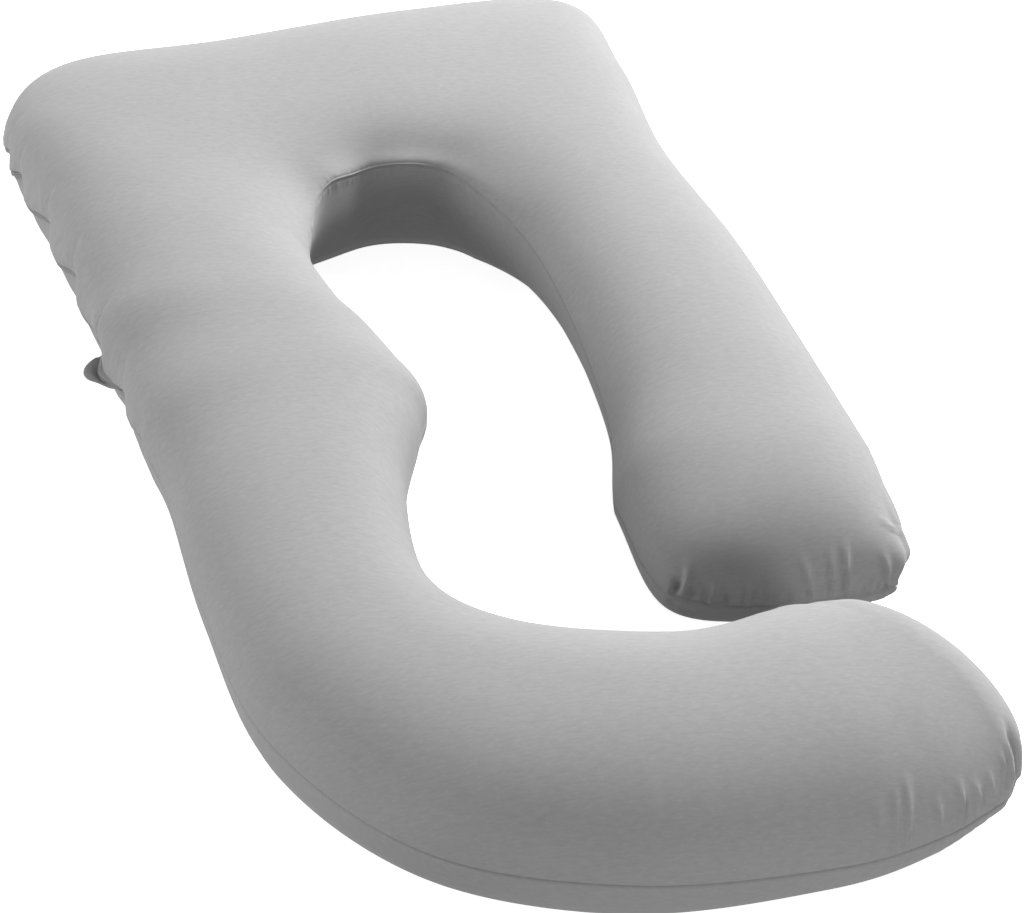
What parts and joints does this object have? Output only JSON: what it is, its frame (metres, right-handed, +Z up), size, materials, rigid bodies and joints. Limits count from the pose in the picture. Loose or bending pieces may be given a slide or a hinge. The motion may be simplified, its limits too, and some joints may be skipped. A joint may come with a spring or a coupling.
{
  "type": "body pillow",
  "caption": "Full-length J-shaped body pillow in grey heathered jersey, filled, with a zip strip down one side.",
  "frame": {"origin": "middle of the footprint, on the underside", "axes": "+Z up out of the pillow's face, +Y from the hook towards the head bar, +X towards the short leg"},
  "size_m": [0.8398, 1.4854, 0.2051],
  "materials": {
    "pillow_jersey": "heathered grey cotton jersey, matt",
    "strip_jersey": "the same jersey folded over the zip, matt",
    "ear_jersey": "folded end of the same strip, matt"
  },
  "bodies": {
    "root": {"pillow": "pillow_jersey", "zip_strip": "strip_jersey", "zip_ear": "ear_jersey"}
  },
  "joints": []
}
